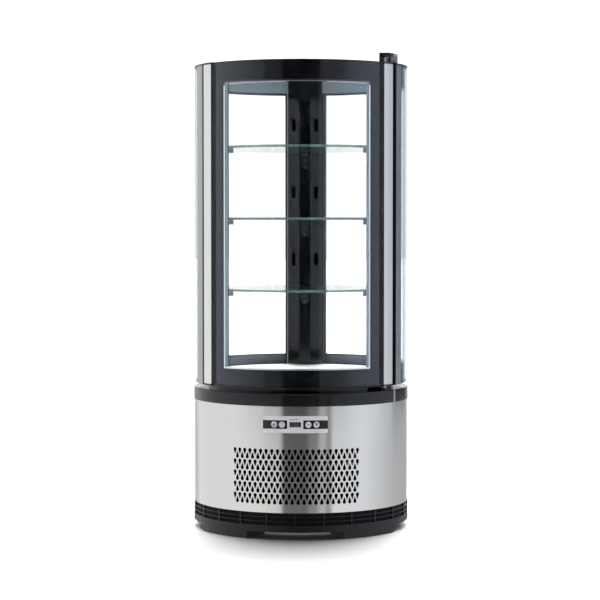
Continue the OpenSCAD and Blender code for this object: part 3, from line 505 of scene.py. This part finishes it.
def glass(name, tint, edge, level=False):
    """Pane, level or upright: what lies behind it, its mirrored surroundings, and a ground,
    coloured edge.

    The edge is every face that looks along the pane instead of out of it. A face mirrors a share
    s + (1 - s) lean^5 of the light, where s is the share of a square view, and lean is 0 for a
    square view and 1 for a flat one. An upright pane turns greener where it is seen flat."""
    f = Finish(name, edge, 0.28)
    square_share, edge_cover = 0.018, 0.72
    if level:
        facing, flat, shine = f.separate(f.normal)[2], tint, (1, 1, 1, 1)
    else:
        flat = tuple(0.45 * own + 0.55 * green for own, green in zip(tint, (0.5, 0.72, 0.74)))
        facing, shine = f.outward(), (0.91, 0.94, 1, 1)
    face = f.maths("GREATER_THAN", f.maths("ABSOLUTE", facing), 0.6)
    lean = f.node("ShaderNodeLayerWeight", {"Blend": 0.5}).outputs["Facing"]
    f.set(Base_Color=f.tinted(f.noise(240, 3), 0.15),
          Roughness=f.between(f.noise(500, 2), 0.2, 0.4))
    deep = f.blend(lean, tint, flat, 0.72, 1.0)
    wave = f.bump(f.noise((3, 3, 2), 2), 0.0004, 0.2)
    clear = f.node("ShaderNodeBsdfTransparent", {"Color": deep}).outputs[0]
    values = {"Color": shine, "Roughness": 0.02, "Normal": wave}
    mirror = f.node("ShaderNodeBsdfGlossy", values).outputs[0]
    share = f.maths("MULTIPLY_ADD", f.maths("POWER", lean, 5.0), 1.0 - square_share, square_share)
    pane = f.node("ShaderNodeMixShader", {0: share, 1: clear, 2: mirror}).outputs[0]
    values = {0: edge_cover, 1: clear, 2: f.shader.outputs[0]}
    rim = f.node("ShaderNodeMixShader", values).outputs[0]
    both = f.node("ShaderNodeMixShader", {0: face, 1: rim, 2: pane}).outputs[0]
    f.feed(f.output.inputs["Surface"], both)
    return f.material


def lamp(name, colour, strength, pitch):
    """Diffuser over a row of light-emitting diodes: brighter over each of them."""
    f = Finish(name, (0.8, 0.8, 0.8), 0.35)
    wave = f.maths("SINE", f.maths("MULTIPLY", f.axes()[2], 2 * math.pi / pitch))
    f.set(Emission_Color=(*colour, 1),
          Emission_Strength=f.between(wave, strength * 0.75, strength, -1, 1),
          Normal=f.bump(f.noise((900, 900, 60), 2), 0.00003, 0.3))
    return f.material


BLACK = (0.0055, 0.0056, 0.0065)
BLACK_CORE = (0.006, 0.006, 0.007)
BLACK_MOULDING = (0.012, 0.0122, 0.014)

FINISHES = {made.name: made for made in (
    gloss("gloss_black", BLACK, 0.04, Specular_IOR_Level=0.36),
    # Painted reflection on the rings' inward faces: paler on the head ring than on the sill
    inner_reflection_ring("gloss_black_inner_reflection", BLACK, painted_reflection=(0.2, 0.25, 0.29)),
    inner_reflection_ring("gloss_black_sill", BLACK, painted_reflection=(0.085, 0.1, 0.12)),
    gloss("gloss_black_frame", (0.0055, 0.006, 0.009), 0.06, Specular_IOR_Level=0.24),
    gloss("column_black", (0.007, 0.0072, 0.0085), 0.1, wipe=0.08, Specular_IOR_Level=0.4),
    # Two copies of one post material: the greys differ as painted light, and the edge angles end
    # the painted shade
    clad("post_grey_latch", (0.32, 0.325, 0.335), core=BLACK_CORE, edge=62.7),
    clad("post_grey_hinge", (0.355, 0.385, 0.42), core=BLACK_CORE, edge=64.2),
    gloss("liner_dark", (0.17, 0.21, 0.24), 0.25, wipe=0.1),
    gloss("liner_white", (0.8, 0.81, 0.82), 0.3, wipe=0.1),
    moulded("moulded_black", BLACK_MOULDING, 0.42),
    recessed("moulded_base", (0.009, 0.0094, 0.0125), skin_r=0.2232),
    moulded("moulded_dark", (0.02, 0.02, 0.022), 0.5, grain=900),
    two_part("bracket_black_grey", front=BLACK_MOULDING, rear=(0.2, 0.21, 0.235), split=60.4),
    moulded("clip_grey", (0.13, 0.15, 0.175), 0.4),
    moulded("panel_silver", (0.68, 0.685, 0.705), 0.36, grain=2200, depth=0.00003, spread=0.05,
            metal=0.2),
    gloss("button_cap", (0.72, 0.72, 0.73), 0.22, wipe=0.08, Subsurface_Weight=0.05),
    moulded("joint_pale", (0.24, 0.245, 0.265), 0.4, grain=2200, depth=0.00003),
    moulded("housing_grey", (0.3, 0.31, 0.32), 0.5, grain=1200),
    moulded("fan_grey", (0.22, 0.225, 0.235), 0.42, grain=1200),
    rubber("rubber_black", (0.012, 0.012, 0.013)),
    rubber("gasket_grey", (0.03, 0.03, 0.033)),
    zinc("zinc_sheet", (0.52, 0.53, 0.54)),
    zinc("zinc_rear", (0.42, 0.43, 0.44)),
    brushed("steel_brushed", (0.64, 0.635, 0.625)),
    anodised("silver_satin", (0.7, 0.705, 0.67)),
    spacer("spacer_pale", (0.8, 0.84, 0.84), top=0.9115),
    plated("screw_black", (0.09, 0.09, 0.095), 0.35),
    plated("pin_steel", (0.5, 0.5, 0.5), 0.2),
    gloss("painted_black", (0.008, 0.008, 0.0085), 0.3, wipe=0.12),
    fins("fins_bare", (0.62, 0.63, 0.64)),
    fins("fins_coated", (0.025, 0.026, 0.028)),
    copper("copper_tube", (0.72, 0.33, 0.19), dark=(0.33, 0.13, 0.09)),
    board("board_green", mask=(0.015, 0.13, 0.055), dark=(0.013, 0.1, 0.045),
          track=(0.05, 0.28, 0.12), pad=(0.7, 0.66, 0.5)),
    foam("foam_cream", (0.72, 0.66, 0.42)),
    gloss("panel_strip", (0.009, 0.01, 0.015), 0.18, wipe=0.08),
    lamp("lamp_lens", (1.0, 0.98, 0.95), strength=1.3, pitch=0.0125),
    glass("glass_door", tint=(0.997, 0.999, 0.999), edge=(0.02, 0.03, 0.03)),
    glass("glass_side", tint=(0.993, 0.998, 0.999), edge=(0.14, 0.23, 0.23)),
    glass("glass_shelf", tint=(0.955, 0.975, 0.968), edge=(0.1, 0.19, 0.17), level=True),
)}

DRESSED = {
    "gloss_black": ["deck_ring"],
    "gloss_black_sill": ["sill_ring"],
    "gloss_black_inner_reflection": ["head_ring"],
    "gloss_black_frame": ["door_frame"],
    "column_black": ["rear_column_cover", "rear_column_back"],
    "post_grey_latch": ["front_post_left"],
    "post_grey_hinge": ["front_post_right"],
    "liner_dark": ["ceiling_liner"],
    "liner_white": ["deck_floor"],
    "moulded_black": ["top_cap", "door_end_caps", "rear_shelf_brackets", "power_inlet"],
    "bracket_black_grey": ["hinge_brackets"],
    "moulded_base": ["plinth"],
    "moulded_dark": ["drain_pan", "evaporator_fan_motor", "condenser_fan_motor"],
    "clip_grey": ["shelf_clips"],
    "panel_silver": ["control_bezel"],
    "panel_strip": ["panel_windows"],
    "button_cap": ["button_power", "button_light", "button_down", "button_up"],
    "joint_pale": ["ring_joint_strip"],
    "housing_grey": ["electrics_box"],
    "fan_grey": ["condenser_fan", "evaporator_fan"],
    "rubber_black": ["foot_pads", "compressor_grommets"],
    "gasket_grey": ["door_gasket"],
    "zinc_sheet": ["base_pan", "machine_posts", "deck_tray", "fan_shroud"],
    "zinc_rear": ["rear_panel"],
    "steel_brushed": ["steel_wrap"],
    "silver_satin": ["door_strips"],
    "spacer_pale": ["door_spacer", "side_spacers"],
    "pin_steel": ["hinge_pins"],
    "painted_black": ["compressor"],
    "fins_bare": ["evaporator_coil"],
    "fins_coated": ["condenser_coil"],
    "copper_tube": ["refrigerant_tubes"],
    "board_green": ["controller_board"],
    "foam_cream": ["deck_foam", "top_foam"],
    "lamp_lens": ["light_strips"],
    "glass_door": ["door_outer_glass", "door_inner_glass"],
    "glass_side": ["side_outer_left", "side_outer_right", "side_inner_panes"],
    "glass_shelf": ["shelf_lower", "shelf_middle", "shelf_upper"],
}
for finish, dressed in DRESSED.items():
    for node in dressed:
        nodes[node].data.materials.clear()
        nodes[node].data.materials.append(FINISHES[finish])


# Signs on the control panel: how far they stand out, and where they are drawn

SIGN_T = 0.00012
BUTTON_FACE_R = BODY_R + PROUD
DISPLAY_SIGNS_Z = BEZEL_Z + 0.0105


def button_signs():
    """A small dark sign and a silver rim on the flat face of each button. The signs are an upward
    arrow over a bar, a bulb, three crossing strokes for frost, and a downward arrow under a bar."""
    arrow = np.array([[-0.003, -0.0008], [0.003, -0.0008], [0.0, 0.0034]])
    bar = np.array([[-0.003, -0.0034], [0.003, -0.0034], [0.003, -0.0018], [-0.003, -0.0018]])
    flipped = [1, -1]
    bulb = circle(0.0026, 18, -50, 230, centre=(0, 0.0008))
    socket_half, socket_lows = 0.0014, (-0.0021, -0.0033)
    frost_r, bulb_w, line_w = 0.0035, 0.0008, 0.0007
    rim_r, rim_w = BUTTON_R - 0.0006, 0.0004
    for key, angle in BUTTONS.items():
        body = "button_" + key
        place = on_face(BUTTON_FACE_R, angle, BEZEL_Z)
        if key == "power":
            grids = [patch(outline, place, SIGN_T) for outline in (arrow, bar)]
        elif key == "up":
            grids = [patch(outline * flipped, place, SIGN_T) for outline in (arrow, bar)]
        elif key == "light":
            grids = [stroke(bulb, bulb_w, place, SIGN_T)]
            for z in socket_lows:
                line = [[-socket_half, z], [0.0, z], [socket_half, z]]
                grids.append(stroke(line, line_w, place, SIGN_T))
        else:
            grids = []
            for turn in (0, 60, 120):
                a = math.radians(turn)
                end = frost_r * np.array([math.cos(a), math.sin(a)])
                # Each stroke is a little thicker than the last, so no two faces lie in one plane
                thick = SIGN_T * (1 + turn / 600)
                grids.append(stroke([-end, 0 * end, end], line_w, place, thick))
        piece("sign_" + key, grids, FINISHES["moulded_dark"], body)
        rim = stroke(circle(rim_r, 36), rim_w, place, SIGN_T, closed=True)
        piece("button_rim_" + key, [rim], FINISHES["panel_silver"], body)


def display():
    """Three figures of seven bars each on the lens, lit or unlit, and four small signs above it."""
    glow = Finish("figure_glow", (0.13, 0.135, 0.14), 0.35)
    glow.set(Emission_Color=(0.75, 0.8, 0.82, 1), Emission_Strength=0.05,
             Base_Color=glow.tinted(glow.noise(900, 2), 0.1))
    ghost = moulded("figure_ghost", (0.02, 0.021, 0.023), 0.4)
    w, h = 0.001512, 0.003888
    bar_w, bar_gap, figure_pitch, figure_t = 0.0007, 0.00035, 0.0062, SIGN_T * 0.5
    bars = [((-w, h), (w, h)), ((w, h), (w, 0)), ((w, 0), (w, -h)), ((-w, -h), (w, -h)),
            ((-w, 0), (-w, -h)), ((-w, h), (-w, 0)), ((-w, 0), (w, 0))]
    zero, six = (0, 1, 2, 3, 4, 5), (0, 2, 3, 4, 5, 6)
    place = on_wrap(BODY_R, 0, BEZEL_Z)
    shown, unlit = [], []
    for figure, lit in enumerate((zero, zero, six)):
        for i, (start, end) in enumerate(np.array(bars)):
            gap = (end - start) / np.linalg.norm(end - start) * bar_gap
            line = np.linspace(start + gap, end - gap, 3) + [(figure - 1) * figure_pitch, 0]
            (shown if i in lit else unlit).append(stroke(line, bar_w, place, figure_t))
    point = circle(0.00045, 12, centre=(figure_pitch / 2, -0.0038))
    shown.append(patch(point, place, figure_t))
    piece("display_figures", shown, glow.material, "root")
    piece("display_unlit", unlit, ghost, "root")

    above = on_wrap(BODY_R, 0, DISPLAY_SIGNS_Z)
    sign_r, sign_w, outer_x = 0.0013, 0.0006, 0.0085
    ring = circle(sign_r, 16, centre=(-outer_x, 0))
    crescent = circle(sign_r, 16, 60, 330, centre=(outer_x, 0))
    signs = [stroke(ring, sign_w, above, SIGN_T, closed=True)]
    signs += [patch(circle(0.0014, 16, centre=(x, 0)), above, SIGN_T) for x in (-0.003, 0.003)]
    signs.append(stroke(crescent, sign_w, above, SIGN_T))
    piece("panel_signs", signs, FINISHES["moulded_dark"], "root")


button_signs()
display()


# Fasteners, beads and fins


def screw_head(place, radius, height):
    """A domed head with a cross cut into it: the dome falls with the cube of the distance from its
    middle, and the cross is a depth taken off where a point lies near either of two lines."""
    rim_fall = 0.45
    arm_w, arm_w_soft, arm_reach, arm_reach_soft, arm_depth = 0.15, 0.05, 0.66, 0.1, 0.75
    ring = np.array([0, 0.12, 0.24, 0.36, 0.48, 0.6, 0.72, 0.84, 0.94, 1.0, 1.0])[:, None]
    turn = np.linspace(0, 2 * math.pi, 40, endpoint=False)[None]
    u, v = radius * ring * np.cos(turn), radius * ring * np.sin(turn)
    dome = height * (1 - rim_fall * ring ** 3)
    near = np.minimum(np.abs(u), np.abs(v)) / radius
    across = np.clip((arm_w - near) / arm_w_soft, 0, 1)
    along = np.clip((arm_reach - ring) / arm_reach_soft, 0, 1)
    cross = across * along
    depth = np.broadcast_to(dome, u.shape) - cross * height * arm_depth
    depth[-1] = 0.0
    return place(u, v, depth)


def screw(place, head_r, head_h, shank_r, shank_l, lap=0.0001):
    """A cross head on a face, and a shank from inside the head down into what it holds."""
    shank = capped(spun([[shank_r, -shank_l], [shank_r, lap]], place))
    return [screw_head(place, head_r, head_h), shank]


def screws():
    """Every screw of the case: seven on the cap, four on the rear panel and two on each shelf
    bracket."""
    cap_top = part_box("top_cap")[1].z
    cap_circle_r, cap_angles = 0.192, (-1.7, 35, -60, 110, 150, -110, -150)
    cap_screw = dict(head_r=0.0034, head_h=0.0016, shank_r=0.0018, shank_l=0.008, lap=0.0002)
    panel_angle, panel_margin = 153.8, 0.014
    panel_low, panel_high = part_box("rear_panel")
    panel_screw = dict(head_r=0.0038, head_h=0.0012, shank_r=0.0019, shank_l=0.007)
    bracket_t, bracket_drops = 0.003, (0.019, 0.031)
    bracket_face_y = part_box("rear_column_cover")[0].y - bracket_t
    bracket_screw = dict(head_r=0.003, head_h=0.0015, shank_r=0.0015, shank_l=0.005)
    heads, dark = [], []
    for angle in cap_angles:
        x, y, _ = polar(cap_circle_r, angle, cap_top)
        heads += screw(on_top(x, y, cap_top), **cap_screw)
    for angle in (panel_angle, -panel_angle):
        for height in (panel_low.z + panel_margin, panel_high.z - panel_margin):
            heads += screw(on_face(WRAP_R + PROUD, angle, height), **panel_screw)
    for shelf in ("lower", "middle", "upper"):
        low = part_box("shelf_" + shelf)[0].z
        for drop in bracket_drops:
            # The brackets face the door from behind the axis, so their radius is negative
            dark += screw(on_face(-bracket_face_y, 0, low - drop), **bracket_screw)
    item = piece("case_screw_heads", heads, FINISHES["screw_black"], "root", 30)
    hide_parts("case_screws")
    piece("bracket_screw_heads", dark, FINISHES["screw_black"], "root", 30)


def strip_beads():
    """Dark soft beads down both edges of each silver strip: a low arch carried straight up."""
    inner_edge, outer_edge = 51.3, 59.42
    bead_half_w, bead_h, end_gap, end_step = 0.0007, 0.0012, 0.003, 0.001
    low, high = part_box("door_outer_glass")
    foot, head = low.z + end_gap, high.z - end_gap
    heights = np.array([foot, foot + end_step, head - end_step, head])
    turn = np.linspace(0, math.pi, 7)
    across = np.append(bead_half_w * np.cos(turn), [-bead_half_w, bead_half_w])
    out = np.append(bead_h * np.sin(turn), [-bead_h, -bead_h])
    grids = []
    for angle in (inner_edge, outer_edge, -inner_edge, -outer_edge):
        place = on_wrap(GLASS_R, angle, 0)
        grids.append(capped(place(across[None], heights[:, None], out[None])))
    piece("strip_beads", grids, FINISHES["gasket_grey"], "door")


def fin_pack():
    """The fine fins of the condenser, five in each gap between the coarse ones: thin upright
    plates at an even pitch, a little shallower than the coil."""
    core_w, gaps, fine, half_t = 0.19, 30, 5, 0.00008
    foot_gap, head_gap = 0.005, 0.001
    low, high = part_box("condenser_coil")
    front, back = low.y * 0.995, high.y * 1.005
    pitch = core_w / gaps
    grids = []
    for i in range(gaps):
        for j in range(1, fine + 1):
            x = -core_w / 2 + (i + j / (fine + 1)) * pitch
            left, right = x - half_t, x + half_t
            plan = [[left, front], [right, front], [right, back], [left, back]]
            grids.append(upright(plan, [low.z + foot_gap, high.z - head_gap]))
    piece("condenser_fins", grids, FINISHES["fins_coated"], "root")


screws()
strip_beads()
fin_pack()


# Room, light and camera

# Where the photograph was taken from: degrees and metres, the lens in millimetres
CAMERA_AZIMUTH = 2.95
CAMERA_DISTANCE = 4.185
CAMERA_HEIGHT = 0.636
CAMERA_TILT = 2.24
CAMERA_YAW = 0.027
LENS = 119.5

# What shiny faces mirror: brightness by degrees round from the camera, above and below a horizon
# that lies five degrees under the level, with a tint for the left and the right side
UPPER_PANELS = [
    (-180, 1.0), (-174, 1.0), (-169, 0.72), (-157, 0.72), (-146, 1.0), (-75, 1.0), (-65, 0.86),
    (-50, 0.58), (-42, 0.5), (-38, 0.26), (-21, 0.2), (-19, 0.0), (19.5, 0.0), (20.5, 0.33),
    (34, 0.34), (45, 0.46), (57, 0.81), (70, 1.0), (92, 0.98), (100, 0.82), (112, 0.72),
    (120, 0.18), (148, 0.15), (157, 0.6), (169, 0.72), (174, 1.0), (180, 1.0),
]
LOWER_PANELS = [
    (-180, 0.6), (-155, 0.6), (-140, 1.0), (-45, 1.05), (-36, 1.0), (-24, 0.93), (-20.5, 0.78),
    (-19, 0.22), (6, 0.21), (9, 0.38), (17.5, 0.4), (19.5, 0.7), (26, 0.7), (28, 0.36),
    (31.5, 0.36), (34, 1.08), (50, 1.03), (70, 1.0), (90, 0.82), (110, 0.68), (135, 0.6),
    (155, 0.5), (180, 0.6),
]
UPPER_TINTS = ((0.93, 0.97, 1.06), (0.88, 0.97, 1.12))
LOWER_TINTS = ((1.0, 1.0, 0.985), (0.98, 1.0, 1.03))
# Degrees between which each side's tint holds, and the brightness of all that is mirrored
LEFT_SIDE = (-80, 0)
RIGHT_SIDE = (40, 155)
MIRRORED = 1.03

# Heights on the unit sphere where the two rows of panels meet, and where a plain ceiling begins
HORIZON = (-0.092, -0.085)
CEILING = (0.35, 0.75)
CEILING_GREY = (0.9, 0.9, 0.9)

# Soft light on matt faces: an even level, and a broad lobe from above and behind the body
EVEN_LIGHT = 0.1
LOBE_LIGHT = 22.0
LOBE_POWER = 6.0
LOBE_FROM = (0.0, 0.766, 0.643)

# Brightness of the surround as the camera sees it
PLAIN_WHITE = 1.25


def panels(world, share, levels, tints):
    """A ramp of brightness by degrees from the camera, with a tint for either side."""
    left, right = tints
    ramp = world.node("ShaderNodeValToRGB", {0: share})
    stops = ramp.color_ramp.elements
    while len(stops) < len(levels):
        stops.new(0.5)
    for stop, (degrees, level) in zip(stops, levels):
        tint = (1, 1, 1)
        if LEFT_SIDE[0] < degrees < LEFT_SIDE[1]:
            tint = left
        elif RIGHT_SIDE[0] < degrees < RIGHT_SIDE[1]:
            tint = right
        stop.position = degrees / 360 + 0.5
        stop.color = (*(level * part for part in tint), 1)
    return ramp.outputs[0]


def pale_floor():
    """A wide pale floor that shiny faces don't mirror."""
    mesh = bpy.data.meshes.new("floor")
    half = 30.0
    corners = [(-half, -half, 0), (half, -half, 0), (half, half, 0), (-half, half, 0)]
    mesh.from_pydata(corners, [], [(0, 1, 2, 3)])
    floor = bpy.data.objects.new("floor", mesh)
    bpy.context.scene.collection.objects.link(floor)
    pale = Finish("floor_pale", (0.62, 0.62, 0.62), 0.9, Specular_IOR_Level=0.0)
    mesh.materials.append(pale.material)
    floor.visible_glossy = False


def studio():
    """A surround that is white to the eye. Shiny faces mirror soft white panels on both sides with
    a dark gap between them; matt ones are lit softly, most of it from above and behind, so the
    body's own soft shade lies on the floor before it."""
    surround = bpy.data.worlds.new("studio")
    bpy.context.scene.world = surround
    surround.use_nodes = True
    surround.node_tree.nodes.clear()
    world = Nodes(surround.node_tree)

    way = world.node("ShaderNodeTexCoord").outputs["Generated"]
    x, y, z = world.separate(way)
    azimuth = world.maths("ARCTAN2", x, world.maths("MULTIPLY", y, -1.0))
    turned = world.maths("SUBTRACT", azimuth, math.radians(CAMERA_AZIMUTH))
    share = world.maths("ADD", world.maths("DIVIDE", turned, 2 * math.pi), 0.5)
    upper = panels(world, share, UPPER_PANELS, UPPER_TINTS)
    lower = panels(world, share, LOWER_PANELS, LOWER_TINTS)
    around = world.mixed(world.between(z, 0.0, 1.0, *HORIZON), lower, upper)
    shining = world.mixed(world.between(z, 0.0, 1.0, *CEILING), around, CEILING_GREY)

    facing = world.maths("MAXIMUM", world.dot(way, LOBE_FROM), 0.0)
    lobe = world.maths("MULTIPLY", world.maths("POWER", facing, LOBE_POWER), LOBE_LIGHT)
    level = world.maths("ADD", lobe, EVEN_LIGHT)

    white = (1, 1, 1, 1)
    mirrored = world.node("ShaderNodeBackground", {0: shining, 1: MIRRORED}).outputs[0]
    falling = world.node("ShaderNodeBackground", {0: white, 1: level}).outputs[0]
    plain = world.node("ShaderNodeBackground", {0: white, 1: PLAIN_WHITE}).outputs[0]
    ray = world.node("ShaderNodeLightPath").outputs
    values = {0: ray["Is Glossy Ray"], 1: falling, 2: mirrored}
    lit = world.node("ShaderNodeMixShader", values).outputs[0]
    values = {0: ray["Is Camera Ray"], 1: lit, 2: plain}
    both = world.node("ShaderNodeMixShader", values).outputs[0]
    world.node("ShaderNodeOutputWorld", {0: both})


def camera():
    """The photograph's view: level with the middle shelf, a little to the right, tilted down."""
    data = bpy.data.cameras.new("camera")
    data.lens = LENS
    data.sensor_width = 36.0
    data.clip_end = 100.0
    item = bpy.data.objects.new("camera", data)
    a = math.radians(CAMERA_AZIMUTH)
    item.location = (CAMERA_DISTANCE * math.sin(a), -CAMERA_DISTANCE * math.cos(a), CAMERA_HEIGHT)
    tilt, yaw = math.radians(CAMERA_TILT), math.radians(CAMERA_YAW)
    item.rotation_euler = (math.pi / 2 - tilt, 0.0, a + yaw)
    bpy.context.scene.collection.objects.link(item)
    bpy.context.scene.camera = item


pale_floor()
studio()
camera()
scene = bpy.context.scene
scene.view_settings.view_transform = "Standard"
scene.cycles.transparent_max_bounces = 40
scene.cycles.max_bounces = 10
